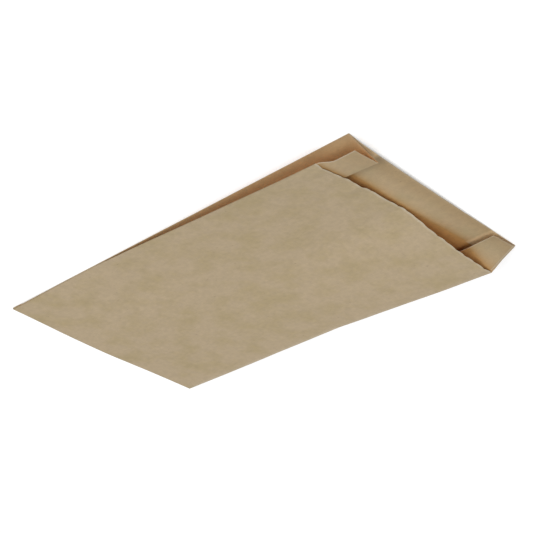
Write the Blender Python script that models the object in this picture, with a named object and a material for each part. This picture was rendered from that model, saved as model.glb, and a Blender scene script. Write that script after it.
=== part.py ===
"""Brown paper lunch bag: one folded and glued sheet of kraft paper, lying flat and empty.

X runs across the bag, Y along it from the closed bottom to the mouth, and Z up from the table.
The sheet is a flat tube with a gusset tucked into each side. At the mouth the front panel is cut
back, so that the back panel stands out as a lip, and both gussets have sprung open a little. The same
cut leaves the front panel longer at the other end. There the tube's end is folded under as a short
strip, and the front panel's tab past it is glued to the back. The near side is -X.

A section across the bag is a chain of columns, each with one point on the sheet's outer skin and one
on its inner skin. It is lofted along the tab and the strip, round the bottom fold and along the bag.
"""

import math

import bmesh
import bpy

MM = 0.001

# The sheet
PAPER_THICKNESS = 0.12 * MM
LAYER_GAP = 0.06 * MM

# The flat bag
BAG_WIDTH = 150.0 * MM
BAG_LENGTH = 254.8 * MM
LIP_NEAR = 21.6 * MM
LIP_FAR = 16.2 * MM
LIP_BOW = 0.9 * MM
NEAR_GUSSET_DEPTH = 24.2 * MM
FAR_GUSSET_DEPTH = 22.4 * MM
BOTTOM_STRIP = 6.0 * MM
STRIP_RELEASE = 46.0 * MM
TAB_CLIMB = 4.0 * MM

# The glued lap along the hidden back, where one edge of the sheet lies over the other
LAP_CENTRE = 8.0 * MM
LAP_WIDTH = 11.0 * MM
LAP_RAMP = 4.0 * MM

# How high the front panel stands along the middle of the bag, and its rise to both sides
SAG_AT_BOTTOM = 2.7 * MM
SAG_AT_MOUTH = 2.2 * MM
SAG_BLEND = 5.0 * MM
NEAR_RISE_POWER = 1.5
FAR_RISE_POWER = 1.65

# The lip of the back panel curls up off the table, most at a share of the width from the near side
LIP_CURL = 1.6 * MM
LIP_CURL_RUN = 55.0 * MM
LIP_CURL_PEAK = 0.3

# The near gusset is shut up to a point, and from there it opens as a straight wedge
NEAR_OPENS_AT = -66.0 * MM
NEAR_FOLD_AT_CUT = 8.55 * MM
NEAR_CREASE_AT_CUT = 4.95 * MM

# The far gusset is ajar from the bottom on, and opens wider from the middle of the bag
FAR_FOLD_AT_BOTTOM = 1.6 * MM
FAR_FOLD_AT_MIDDLE = 4.1 * MM
FAR_FOLD_AT_CUT = 11.95 * MM
FAR_CREASE_AT_CUT = 4.0 * MM

# Past the cut of the front panel the upper half gussets are free flaps
NEAR_CREASE_AT_MOUTH = 6.6 * MM
NEAR_FLAP_AT_MOUTH = 9.0 * MM
NEAR_FLAP_TRIM = 4.6 * MM
FAR_CREASE_AT_MOUTH = 3.4 * MM
FAR_FLAP_AT_MOUTH = 1.9 * MM
FAR_FLAP_TRIM = 0.8 * MM
FLAP_TRIM_RUN = 9.0 * MM

# Fineness of the mesh
ARC_STEPS = 3
GUSSET_STEPS = 3
PANEL_STEPS = 4
FRONT_STEPS = 18
BODY_STEPS = 26
FLAP_STEPS = 8
BOTTOM_FOLD_STEPS = 6
TAB_STEPS = 6

PAPER_COLOUR = (0.423, 0.342, 0.220, 1.0)
PAPER_ROUGHNESS = 0.78

HALF_WIDTH = BAG_WIDTH / 2
HALF_LENGTH = BAG_LENGTH / 2
HALF_THICKNESS = PAPER_THICKNESS / 2
LAYER_PITCH = PAPER_THICKNESS + LAYER_GAP
FOLD_RADIUS = LAYER_PITCH / 2
FOLD_REACH = FOLD_RADIUS + HALF_THICKNESS
STACK_HEIGHT = 4 * PAPER_THICKNESS + 3 * LAYER_GAP
STRIP_GAP = LAYER_GAP / 2
STRIP_AXIS = STACK_HEIGHT + STRIP_GAP
SHUT_CREASE = FOLD_REACH + LAYER_PITCH
SHUT_FOLD = SHUT_CREASE + LAYER_PITCH


def mix(start, end, share):
    """The value at a share of the way from start to end."""
    return start + (end - start) * share


def limited(share):
    """The share, kept between 0 and 1."""
    return min(max(share, 0.0), 1.0)


def smoothstep(share):
    """Ease from 0 to 1 as the share goes from 0 to 1, and stay level outside that."""
    share = limited(share)
    return share * share * (3 - 2 * share)


def mix_columns(start, end, share):
    """The column, an outer and an inner point, at a share of the way between two columns."""
    return tuple(tuple(mix(a, b, share) for a, b in zip(p, q)) for p, q in zip(start, end))


def cut_y(x):
    """Where the front panel's mouth edge lies along the bag, at x across it."""
    share = (x + HALF_WIDTH) / BAG_WIDTH
    return HALF_LENGTH - mix(LIP_NEAR, LIP_FAR, share) - 4 * LIP_BOW * share * (1 - share)


def base_height(y):
    """The back panel's underside: over the glued strip, then down to the table."""
    past_strip = (y + HALF_LENGTH - BOTTOM_STRIP) / STRIP_RELEASE
    return (STRIP_AXIS + STRIP_GAP) * (1 - smoothstep(past_strip))


def curl_height(x, y):
    """How far the back panel has curled up off the table, near the mouth."""
    across = limited((x + HALF_WIDTH) / BAG_WIDTH)
    along = smoothstep((y - HALF_LENGTH) / LIP_CURL_RUN + 1)
    near_side = (across / LIP_CURL_PEAK) ** LIP_CURL_PEAK
    far_side = ((1 - across) / (1 - LIP_CURL_PEAK)) ** (1 - LIP_CURL_PEAK)
    return LIP_CURL * along * (near_side * far_side) ** 2


def circle_column(centre, angle, outward):
    """A column on a fold circle. The outer skin is its outer side where the sheet bends outward."""
    side = HALF_THICKNESS if outward else -HALF_THICKNESS
    radii = (FOLD_RADIUS + side, FOLD_RADIUS - side)
    return tuple((centre[0] + r * math.cos(angle), centre[1] + r * math.sin(angle)) for r in radii)


def arc(centre, start, end, outward):
    """Columns round a fold circle, both ends included."""
    shares = [step / ARC_STEPS for step in range(ARC_STEPS + 1)]
    return [circle_column(centre, mix(start, end, share), outward) for share in shares]


def between(start, end, steps):
    """Columns that split the straight run between two columns, both ends left out."""
    return [mix_columns(start, end, step / steps) for step in range(1, steps)]


def tilt(outer_end, crease, turn):
    """Tilt of the straight run between a fold's circle and the crease's, which turn opposite ways."""
    dx, dz = crease[0] - outer_end[0], crease[1] - outer_end[1]
    return math.atan2(dz, dx) + turn * math.asin(2 * FOLD_RADIUS / math.hypot(dx, dz))


class Gusset:
    """One gusset's section, drawn for the near side: the front fold, the crease and the back fold."""

    def __init__(self, depth, base=0.0, crease=SHUT_CREASE, fold=SHUT_FOLD, trim=0.0, front_slope=0.0):
        reach = depth - 2 * FOLD_REACH
        back_z = base + FOLD_REACH
        crease_run = math.sqrt(reach ** 2 - (crease - back_z) ** 2)
        fold_run = math.sqrt(reach ** 2 - (fold - crease) ** 2)
        self.back = (FOLD_REACH - HALF_WIDTH, back_z)
        self.crease = (self.back[0] + crease_run, crease)
        self.fold = (self.crease[0] - fold_run, fold)
        self.trim_share = trim / reach
        self.front_angle = math.pi / 2 - math.atan(front_slope)
        self.upper = tilt(self.fold, self.crease, 1)
        self.lower = tilt(self.back, self.crease, -1)

    def front_arc(self):
        """Columns round the front fold, from the front panel down to the upper half gusset."""
        return arc(self.fold, self.front_angle, self.upper + 1.5 * math.pi, True)

    def tucked(self):
        """Columns from the front fold in to the crease, back out, and round the back fold."""
        tip = arc(self.crease, self.upper + 0.5 * math.pi, self.lower - 0.5 * math.pi, False)
        heel = arc(self.back, self.lower + 0.5 * math.pi, 1.5 * math.pi, True)
        free_edge = mix_columns(self.front_arc()[-1], tip[0], self.trim_share)
        upper_half = [free_edge] + between(free_edge, tip[0], GUSSET_STEPS)
        lower_half = between(tip[-1], heel[0], GUSSET_STEPS)
        return upper_half + tip + lower_half + heel


def mirrored(columns):
    """The columns of a near gusset turned into those of a far one, in running order."""
    return [tuple((-x, z) for x, z in column) for column in reversed(columns)]


def back_panel(near_x, far_x, underside):
    """Columns along the back panel between its two folds, with the step of the glued lap.

    The lap's outer edge is a step in the outer skin, and its inner edge one in the inner skin.
    """
    lap_start = LAP_CENTRE - LAP_WIDTH / 2
    lap_end = LAP_CENTRE + LAP_WIDTH / 2
    single, double = PAPER_THICKNESS, 2 * PAPER_THICKNESS
    flat = (0.0, 0.0, 0.0, single)
    ramp_start = lap_start - LAP_RAMP
    profile = [(mix(near_x, ramp_start, step / PANEL_STEPS), *flat) for step in range(1, PANEL_STEPS + 1)]
    profile += [
        (lap_start, 0.0, -single, single, double),
        (lap_start, 0.0, single, 0.0, double),
        (lap_end, -single, 0.0, 0.0, double),
        (lap_end, single, 0.0, 0.0, single),
    ]
    profile += [(mix(lap_end, far_x, step / PANEL_STEPS), *flat) for step in range(1, PANEL_STEPS)]
    return [
        ((x + outer_x, underside(x) + outer_z), (x + inner_x, underside(x) + inner_z))
        for x, outer_x, inner_x, outer_z, inner_z in profile
    ]


def front_panel(near_end, far_end, sag):
    """Columns along the front panel from its far fold to its near one, sagging between them."""
    near_x, near_z = (mix(a, b, 0.5) for a, b in zip(*near_end))
    far_x, far_z = (mix(a, b, 0.5) for a, b in zip(*far_end))

    def rise(x):
        if x < 0:
            return mix(sag, near_z, limited(x / near_x) ** NEAR_RISE_POWER)
        return mix(sag, far_z, 1 - (1 - limited(x / far_x)) ** FAR_RISE_POWER)

    columns = []
    for step in range(1, FRONT_STEPS):
        x = mix(far_x, near_x, step / FRONT_STEPS)
        blend = SAG_BLEND * limited(2 - abs(x) / (2 * SAG_BLEND))
        height = (rise(x - blend) + 2 * rise(x) + rise(x + blend)) / 4
        columns.append(((x, height + HALF_THICKNESS), (x, height - HALF_THICKNESS)))
    return columns


def section(near, far, underside, sag):
    """All columns round the tube: the part that reaches the mouth, then the front panel's part."""
    near_tucked = near.tucked()
    far_tucked = mirrored(far.tucked())
    near_front = near.front_arc()
    far_front = mirrored(far.front_arc())
    panel = back_panel(near_tucked[-1][0][0], far_tucked[0][0][0], underside)
    lasting = near_tucked + panel + far_tucked
    front = far_front[1:] + front_panel(near_front[0], far_front[-1], sag) + near_front[:-1]
    return lasting, front


def near_gusset(y, past_cut, sag):
    """The near gusset at y along its folds, and at a share of the way from the cut to the mouth."""
    base = base_height(y)
    opened = limited((y - NEAR_OPENS_AT) / (cut_y(-HALF_WIDTH) - NEAR_OPENS_AT))
    crease = mix(base + SHUT_CREASE, NEAR_CREASE_AT_CUT, opened)
    fold = mix(base + SHUT_FOLD, NEAR_FOLD_AT_CUT - FOLD_REACH, opened)
    crease = mix(crease, NEAR_CREASE_AT_MOUTH, past_cut)
    fold = mix(fold, NEAR_FLAP_AT_MOUTH, past_cut)
    slope = NEAR_RISE_POWER * (fold + FOLD_RADIUS - sag) / HALF_WIDTH
    trim = NEAR_FLAP_TRIM * smoothstep(past_cut * LIP_NEAR / FLAP_TRIM_RUN)
    return Gusset(NEAR_GUSSET_DEPTH, base, crease, fold, trim, slope)


def far_gusset(y, past_cut):
    """The far gusset at y along its folds, and at a share of the way from the cut to the mouth."""
    base = base_height(y)
    if y < 0:
        top = mix(FAR_FOLD_AT_MIDDLE, FAR_FOLD_AT_BOTTOM, -y / HALF_LENGTH)
    else:
        top = mix(FAR_FOLD_AT_MIDDLE, FAR_FOLD_AT_CUT, y / cut_y(HALF_WIDTH))
    shut = base + SHUT_FOLD
    full = FAR_FOLD_AT_CUT - FOLD_REACH
    fold = max(top - FOLD_REACH, shut)
    crease = mix(base + SHUT_CREASE, FAR_CREASE_AT_CUT, (fold - shut) / (full - shut))
    crease = mix(crease, FAR_CREASE_AT_MOUTH, past_cut)
    fold = mix(fold, FAR_FLAP_AT_MOUTH, past_cut)
    trim = FAR_FLAP_TRIM * smoothstep(past_cut * LIP_FAR / FLAP_TRIM_RUN)
    return Gusset(FAR_GUSSET_DEPTH, base, crease, fold, trim)


def body_station(start, share, past_cut):
    """The section at a share of the way from the bottom to the cut, and then on to the mouth."""
    y_near = mix(start, cut_y(-HALF_WIDTH), share)
    y_far = mix(start, cut_y(HALF_WIDTH), share)
    sag = mix(SAG_AT_BOTTOM, SAG_AT_MOUTH, share)
    near = near_gusset(y_near, past_cut, sag)
    far = far_gusset(y_far, past_cut)

    def y_at(x):
        return mix(mix(start, cut_y(x), share), HALF_LENGTH, past_cut)

    def underside(x):
        return base_height(y_at(x)) + curl_height(x, y_at(x))

    def placed(point):
        return point[0], y_at(point[0]), point[1]

    lasting, front = section(near, far, underside, sag)
    return [tuple(placed(point) for point in column) for column in lasting + front], len(lasting)


def bottom_fold(first_section):
    """Stations along the glued strip and up round the bottom fold, and where the fold's axis lies.

    The whole section turns over about an axis across the bag. A layer's distance from the axis goes
    from its place in the shut stack of the strip to its place in the first section of the bag.
    """
    shut = (Gusset(NEAR_GUSSET_DEPTH), Gusset(FAR_GUSSET_DEPTH))
    lasting, front = section(*shut, lambda x: 0.0, STACK_HEIGHT - HALF_THICKNESS)
    turns = [math.pi * (1 - step / BOTTOM_FOLD_STEPS) for step in range(BOTTOM_FOLD_STEPS)]

    def turned(point, top, turn):
        under = (1 - math.cos(turn)) / 2
        radius = mix(top[2] - STRIP_AXIS, point[1] + STRIP_GAP, under)
        x = mix(top[0], point[0], under)
        return x, -radius * math.sin(turn), STRIP_AXIS + radius * math.cos(turn)

    stations = []
    for turn in turns:
        stations.append([tuple(turned(p, t, turn) for p, t in zip(column, top))
                         for column, top in zip(lasting + front, first_section)])
    reach = max(-point[1] for station in stations for column in station for point in column)
    axis = reach - HALF_LENGTH
    moved = [[tuple((x, y + axis, z) for x, y, z in column) for column in station] for station in stations]
    strip_end = [tuple((x, BOTTOM_STRIP - HALF_LENGTH, z) for x, y, z in column) for column in moved[0]]
    return [strip_end] + moved, axis


def glued_tab(strip_end, lasting):
    """Stations along the front panel's tab, from its edge back to the strip.

    The tab is as long as the piece that the front panel lacks at the mouth. It climbs from under the
    strip to the back panel. It is cut loose along both front folds, so their columns lie flat in it.
    """
    flat = list(strip_end)
    far_end, near_end = lasting + ARC_STEPS - 1, len(strip_end) - ARC_STEPS
    for step in range(1, ARC_STEPS):
        for side, end in ((1, far_end), (-1, near_end)):
            shift = side * step * FOLD_REACH / ARC_STEPS
            flat[end - side * step] = tuple((x + shift, y, z) for x, y, z in strip_end[end])

    def placed(point, share):
        x, y, z = point
        run = share * (HALF_LENGTH - cut_y(x))
        under_back = base_height(y + run) - LAYER_PITCH
        return x, y + run, z + smoothstep(run / TAB_CLIMB) * under_back

    shares = [step / TAB_STEPS for step in range(TAB_STEPS, 0, -1)]
    return [[tuple(placed(point, share) for point in column) for column in flat] for share in shares]


def sheet_stations():
    """Every station of the sheet from the tab's edge to the mouth, and what each one holds.

    Returns the stations, the station where the tab ends, the station of the cut at the mouth, and the
    number of columns that go on to the mouth. The tab's stations hold the other columns only.
    """
    first_section, lasting = body_station(-HALF_LENGTH, 0.0, 0.0)
    strip_and_fold, start = bottom_fold(first_section)
    stations = glued_tab(strip_and_fold[0], lasting)
    tab = len(stations)
    stations += strip_and_fold
    for step in range(BODY_STEPS + 1):
        stations.append(body_station(start, step / BODY_STEPS, 0.0)[0])
    cut = len(stations) - 1
    for step in range(1, FLAP_STEPS + 1):
        stations.append(body_station(start, 1.0, step / FLAP_STEPS)[0])
    return stations, tab, cut, lasting


def build_sheet():
    """The sheet as one closed body: outer skin, inner skin and the cut edges between them."""
    stations, tab, cut, lasting = sheet_stations()
    count = len(stations[0])
    mesh = bmesh.new()
    verts = {}

    def vert(station, column, skin):
        key = (station, column % count, skin)
        if key not in verts:
            verts[key] = mesh.verts.new(stations[station][column % count][skin])
        return verts[key]

    def patch(corners):
        first, second, third, fourth = corners
        mesh.faces.new((first, second, third))
        mesh.faces.new((first, third, fourth))

    open_edges = {}
    for station in range(len(stations) - 1):
        columns = range(count)
        if station < tab:
            columns = range(lasting, count - 1)
        elif station >= cut:
            columns = range(lasting - 1)
        for column in columns:
            ring = [(station, column), (station, column + 1), (station + 1, column + 1), (station + 1, column)]
            ring = [(s, c % count) for s, c in ring]
            patch([vert(s, c, 0) for s, c in ring])
            patch([vert(s, c, 1) for s, c in reversed(ring[1:] + ring[:1])])
            for start, end in zip(ring, ring[1:] + ring[:1]):
                if (end, start) in open_edges:
                    del open_edges[(end, start)]
                else:
                    open_edges[(start, end)] = True
    for start, end in open_edges:
        ring = [vert(*end, 0), vert(*start, 0), vert(*start, 1), vert(*end, 1)]
        patch(ring[1:] + ring[:1] if start[1] < end[1] else ring)
    bmesh.ops.recalc_face_normals(mesh, faces=mesh.faces)
    data = bpy.data.meshes.new("paper_bag")
    mesh.to_mesh(data)
    mesh.free()
    return data


def kraft_paper():
    """Plain unbleached kraft paper."""
    material = bpy.data.materials.new("kraft_paper")
    material.use_nodes = True
    shader = material.node_tree.nodes["Principled BSDF"]
    shader.inputs["Base Color"].default_value = PAPER_COLOUR
    shader.inputs["Roughness"].default_value = PAPER_ROUGHNESS
    shader.inputs["Metallic"].default_value = 0.0
    return material


def main():
    """Clear the scene and make the bag."""
    for old in list(bpy.data.objects):
        bpy.data.objects.remove(old, do_unlink=True)
    data = build_sheet()
    data.materials.append(kraft_paper())
    bag = bpy.data.objects.new("paper_bag", data)
    bpy.context.scene.collection.objects.link(bag)


main()
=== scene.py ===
"""Brown paper lunch bag, dressed as one folded and glued sheet of kraft paper.

X runs across the bag, Y along it from the closed bottom to the mouth, and Z up from the table. The near
side is -X, where the camera stands. All lengths are in metres.

The sheet is lofted through sections across the bag, from the glued tab under the bottom, round the bottom
fold and along the bag to the mouth. A section is a row of columns, each with one point on the sheet's
outer skin and one on its inner skin.
"""

import logging
import math
from collections.abc import Callable, Iterable
from dataclasses import dataclass, field
from enum import Enum

import bmesh
import bpy
import numpy as np
from mathutils import Matrix, Vector, noise


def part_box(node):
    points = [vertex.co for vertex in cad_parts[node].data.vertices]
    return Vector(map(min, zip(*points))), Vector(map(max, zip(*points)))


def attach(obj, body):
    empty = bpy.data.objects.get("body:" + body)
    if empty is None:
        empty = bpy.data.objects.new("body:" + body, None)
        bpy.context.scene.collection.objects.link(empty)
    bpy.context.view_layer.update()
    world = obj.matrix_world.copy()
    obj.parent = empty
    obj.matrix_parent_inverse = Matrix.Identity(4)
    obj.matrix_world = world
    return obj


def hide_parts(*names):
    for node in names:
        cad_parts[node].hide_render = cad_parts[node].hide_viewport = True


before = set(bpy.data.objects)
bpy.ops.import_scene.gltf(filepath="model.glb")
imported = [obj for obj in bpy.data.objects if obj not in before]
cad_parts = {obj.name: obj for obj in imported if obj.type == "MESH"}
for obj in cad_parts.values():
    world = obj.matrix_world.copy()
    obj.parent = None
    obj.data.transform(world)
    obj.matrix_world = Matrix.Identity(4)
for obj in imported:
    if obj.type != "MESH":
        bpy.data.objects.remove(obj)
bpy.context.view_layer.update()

log = logging.getLogger("paper_bag")

MM = 0.001
BAG_LOW, BAG_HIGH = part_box("paper_bag")
BAG_WIDTH = 150.0 * MM
HALF_WIDTH = BAG_WIDTH / 2
HALF_LENGTH = (BAG_HIGH.y - BAG_LOW.y) / 2
NEAR_LIP = 21.6 * MM
FAR_LIP = 16.2 * MM

# The largest share of a mesh step that lies between a fold and the column that holds it crisp.
WIDEST_SUPPORT = 0.4
# How far a skin is tucked away where its painted recess or shade tone is full and its painted cavity bounce
# tone begins.
SHADED = 0.6

Values = float | np.ndarray
HeightAt = Callable[[np.ndarray], np.ndarray]
Source = bpy.types.NodeSocket | float | tuple


class Layer(Enum):
    """Which of the noise's many unlike fields each kind of unevenness reads."""

    SWELL = 1.3
    FOLD_WANDER = 2.9
    FRONT_CUT = 3.3
    DIMPLE = 4.7
    MOUTH_CUT = 6.1
    MOUTH_WAVE = 8.1
    RIPPLE = 12.6


def mix(start: Values, end: Values, share: Values) -> Values:
    """The value at a share of the way from start to end."""
    return start + (end - start) * share


def smoothstep(share: Values) -> Values:
    """Ease from 0 to 1 as the share goes from 0 to 1, and stay level outside that."""
    share = np.clip(share, 0.0, 1.0)
    return share * share * (3 - 2 * share)


def even_noise(places: np.ndarray, scale: float, layer: float) -> np.ndarray:
    """Smooth noise from about -1 to 1 over places on the table plane.

    Args:
        places: points, with X and Y in the last axis.
        scale: size of the noise's bumps.
        layer: which field to read, one of Layer's values or a place close to it.

    Returns:
        One value for each point.
    """
    flat = places.reshape(-1, places.shape[-1]) / scale
    values = [noise.noise(Vector((x, y, layer))) for x, y in flat[:, :2]]
    return np.array(values).reshape(places.shape[:-1])


@dataclass(frozen=True)
class Paper:
    """The sheet, and how tightly its layers lie on each other."""

    thickness: float = 0.12 * MM
    layer_gap: float = 0.06 * MM

    @property
    def pitch(self) -> float:
        """From one layer to the next."""
        return self.thickness + self.layer_gap

    @property
    def fold_radius(self) -> float:
        """Radius of the sheet's middle round a fold."""
        return self.pitch / 2

    @property
    def fold_reach(self) -> float:
        """Radius of the sheet's outside round a fold."""
        return self.fold_radius + self.thickness / 2

    @property
    def stack(self) -> float:
        """Height of the four layers of a shut gusset."""
        return 4 * self.thickness + 3 * self.layer_gap


@dataclass(frozen=True)
class Fineness:
    """How many steps the mesh takes along each stretch, and how far a support lies from a fold."""

    fold: int = 6
    gusset: int = 10
    panel: int = 20
    front: int = 84
    body: int = 132
    lip: int = 14
    bottom_fold: int = 8
    strip: int = 4
    tab: int = 8
    support: float = 0.3 * MM


class Skin(Enum):
    """The two faces of the sheet."""

    OUTER = 0
    INNER = 1


@dataclass
class Run:
    """Columns side by side across the sheet.

    points has one row for each column, with its outer and its inner point as X and Z. crease is 1 for a
    column on a fold and 0 for one on a flat panel, and lies between them on a flap's old fold. tucked is 1
    for a column whose outer skin is hidden away between the panels and 0 for one in the open, and sets how
    much painted bounce light and shade that skin gets.
    """

    points: np.ndarray
    crease: np.ndarray
    tucked: np.ndarray

    @classmethod
    def arc(cls, centre: tuple, start: float, end: float, outward: bool, paper: Paper, steps: int) -> "Run":
        """Columns round a fold's circle.

        Args:
            centre: the circle's middle, X and Z.
            start: angle of the first column.
            end: angle of the last column.
            outward: True where the sheet bends outward, so that its outer skin is on the outside.
            paper: the sheet.
            steps: how many steps the arc is split into.

        Returns:
            The columns, both ends included.
        """
        side = paper.thickness / 2 if outward else -paper.thickness / 2
        angles = np.linspace(start, end, steps + 1)
        way = np.stack([np.cos(angles), np.sin(angles)], axis=-1)
        radii = (paper.fold_radius + side, paper.fold_radius - side)
        points = np.stack([np.array(centre) + r * way for r in radii], axis=1)
        return cls(points, np.ones(steps + 1), np.full(steps + 1, 0.0 if outward else 1.0))

    @classmethod
    def straight(cls, first: np.ndarray, last: np.ndarray, shares: np.ndarray) -> "Run":
        """Columns at given shares of the way between two columns."""
        points = first + (last - first) * shares[:, None, None]
        return cls(points, np.zeros(len(shares)), np.zeros(len(shares)))

    @classmethod
    def chain(cls, *runs: "Run") -> "Run":
        """Several runs, one after another."""
        kept = ([getattr(run, name) for run in runs] for name in ("points", "crease", "tucked"))
        return cls(*(np.concatenate(values) for values in kept))

    def part(self, start: int | None, stop: int | None) -> "Run":
        """The columns from start up to stop."""
        return Run(self.points[start:stop], self.crease[start:stop], self.tucked[start:stop])

    def mirrored(self) -> "Run":
        """The near side's columns turned into the far side's, in running order."""
        return Run(self.points[::-1] * np.array((-1.0, 1.0)), self.crease[::-1], self.tucked[::-1])


def supported_shares(length: float, steps: int, support: float) -> np.ndarray:
    """Shares that split a straight stretch, with one close to each end to hold the fold there crisp.

    Args:
        length: how long the stretch is.
        steps: how many even steps it has.
        support: how far the close ones lie from the ends.

    Returns:
        The shares, both ends left out.
    """
    edge = min(support / length, WIDEST_SUPPORT / steps)
    even = np.arange(1, steps) / steps
    return np.concatenate([[edge], even, [1 - edge]])


@dataclass(frozen=True)
class CutLine:
    """A knife's cut across the sheet, with the small bites of a toothed blade that has torn the paper.

    The bites are arcs, one for each pitch. They wander along the cut and in and out, and some are deeper
    than others. The sizes of those changes are counted in pitches. mean_arc is an arc's mean height.
    """

    inset_near: float
    inset_far: float
    bow: float
    bite: float
    pitch: float
    layer: Layer
    wander: float = 0.8
    wander_size: float = 3.0
    mean_depth: float = 0.6
    depth_size: float = 1.7
    depth_layer: float = 5.0
    mean_arc: float = 0.64

    def base(self, x: Values) -> Values:
        """Where the even line of the cut lies along the bag.

        Args:
            x: places across the bag.

        Returns:
            Y at each place.
        """
        share = (x + HALF_WIDTH) / BAG_WIDTH
        bow = 4 * self.bow * share * (1 - share)
        return HALF_LENGTH - mix(self.inset_near, self.inset_far, share) - bow

    def bites(self, x: np.ndarray) -> np.ndarray:
        """How far the torn edge stands out from the even line: shallow arcs with a notch between them.

        Args:
            x: places across the bag.

        Returns:
            The distance at each place, negative where the edge lies back.
        """
        across = np.stack([x, np.zeros_like(x)], axis=-1)
        wander = even_noise(across, self.wander_size * self.pitch, self.layer.value)
        uneven = even_noise(across, self.depth_size * self.pitch, self.layer.value + self.depth_layer)
        arcs = np.abs(np.sin(np.pi * (x / self.pitch + self.wander * wander)))
        return self.bite * ((self.mean_depth + uneven) * (arcs - self.mean_arc) + wander)


@dataclass(frozen=True)
class GussetStop:
    """How high a gusset's front fold and its crease stand at one place along the bag."""

    y: float
    fold: float
    crease: float


@dataclass(frozen=True)
class GussetSection:
    """One gusset's section, drawn for the near side: the front fold, the crease and the back fold.

    The upper half gusset is a free flap past the front panel's cut. There it is cut back by the trim, and
    its old fold is a worn line that can hang lower than the rest.
    """

    paper: Paper
    fineness: Fineness
    depth: float
    base: float
    crease_height: float
    fold_height: float
    trim: float
    front_slope: float
    old_fold: float = 1.9 * MM
    old_fold_width: float = 0.7 * MM
    old_fold_wear: float = 0.0
    old_fold_drop: float = 0.0
    tone_run: float = 0.8 * MM

    @property
    def reach(self) -> float:
        """From one fold circle's middle to the next along a half gusset."""
        return self.depth - 2 * self.paper.fold_reach

    @property
    def back(self) -> tuple[float, float]:
        """Middle of the back fold's circle."""
        return self.paper.fold_reach - HALF_WIDTH, self.base + self.paper.fold_reach

    @property
    def crease(self) -> tuple[float, float]:
        """Middle of the crease's circle."""
        run = math.sqrt(self.reach ** 2 - (self.crease_height - self.back[1]) ** 2)
        return self.back[0] + run, self.crease_height

    @property
    def fold(self) -> tuple[float, float]:
        """Middle of the front fold's circle."""
        run = math.sqrt(self.reach ** 2 - (self.fold_height - self.crease_height) ** 2)
        return self.crease[0] - run, self.fold_height

    def tilt(self, outer_end: tuple, turn: int) -> float:
        """Tilt of the straight run between a fold's circle and the crease's, which turn opposite ways."""
        dx, dz = self.crease[0] - outer_end[0], self.crease[1] - outer_end[1]
        return math.atan2(dz, dx) + turn * math.asin(2 * self.paper.fold_radius / math.hypot(dx, dz))

    def arc(self, centre: tuple, start: float, end: float, outward: bool) -> Run:
        """Columns round one of this gusset's folds."""
        return Run.arc(centre, start, end, outward, self.paper, self.fineness.fold)

    def front_arc(self) -> Run:
        """Columns round the front fold, from the front panel down to the upper half gusset."""
        start = math.pi / 2 - math.atan(self.front_slope)
        return self.arc(self.fold, start, self.tilt(self.fold, 1) + 1.5 * math.pi, True)

    def tucked(self) -> Run:
        """Columns from the front fold in to the crease, back out, and round the back fold.

        Returns:
            The columns, from the flap's free edge to the back panel.
        """
        upper, lower = self.tilt(self.fold, 1), self.tilt(self.back, -1)
        tip = self.arc(self.crease, upper + 0.5 * math.pi, lower - 0.5 * math.pi, False)
        heel = self.arc(self.back, lower + 0.5 * math.pi, 1.5 * math.pi, True)
        # The tucked values set each outer skin's painted bounce light and shade: it fades out round the heel,
        # grows from the flap's free edge and is deepest at the crease.
        heel.tucked = np.linspace(SHADED, 0.0, len(heel.tucked))
        fold_end = self.front_arc().points[-1]
        free_edge = fold_end + (tip.points[0] - fold_end) * (self.trim / self.reach)
        shares = supported_shares(self.reach, self.fineness.gusset, self.fineness.support)
        line = (self.old_fold + self.old_fold_width * np.array((-1.0, 0.0, 1.0))) / self.reach
        from_edge = np.sort(np.concatenate([[0.0], shares, line]))
        upper_half = Run.straight(free_edge, tip.points[0], from_edge)
        drop = self.old_fold_drop * np.clip(1 - from_edge / line[1], 0.0, 1.0)
        upper_half.points[..., 1] -= drop[:, None]
        upper_half.crease = np.where(from_edge == line[1], self.old_fold_wear, 0.0)
        upper_half.tucked = smoothstep(from_edge * self.reach / self.tone_run)
        lower_half = Run.straight(tip.points[-1], heel.points[0], shares)
        lower_half.tucked = mix(SHADED, 1.0, (1 - shares) ** 2)
        return Run.chain(upper_half, tip, lower_half, heel)


@dataclass(frozen=True)
class GussetTone:
    """How a gusset's tone differs from plain paper, and where light and shade are painted into it.

    The flap's inner skin gets painted shade close to the cut, which fades over fade_run, painted shade over
    the flap and a painted shadow of the front panel's cut, and it gets darker toward the mouth. The folds are
    worn pale with a painted sheen, the front fold can lie in painted shade, and the old fold is worn pale.
    """

    fade_run: float = 1.6 * MM
    mouth_darkening: float = 0.5
    painted_shade: float = 0.0
    cut_dimmed: float = 0.65
    cut_dimmed_run: float = 1.6 * MM
    fold_wear_and_sheen: float = 0.0
    fold_dimmed: float = 0.6
    old_fold_wear: float = 0.0


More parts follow.
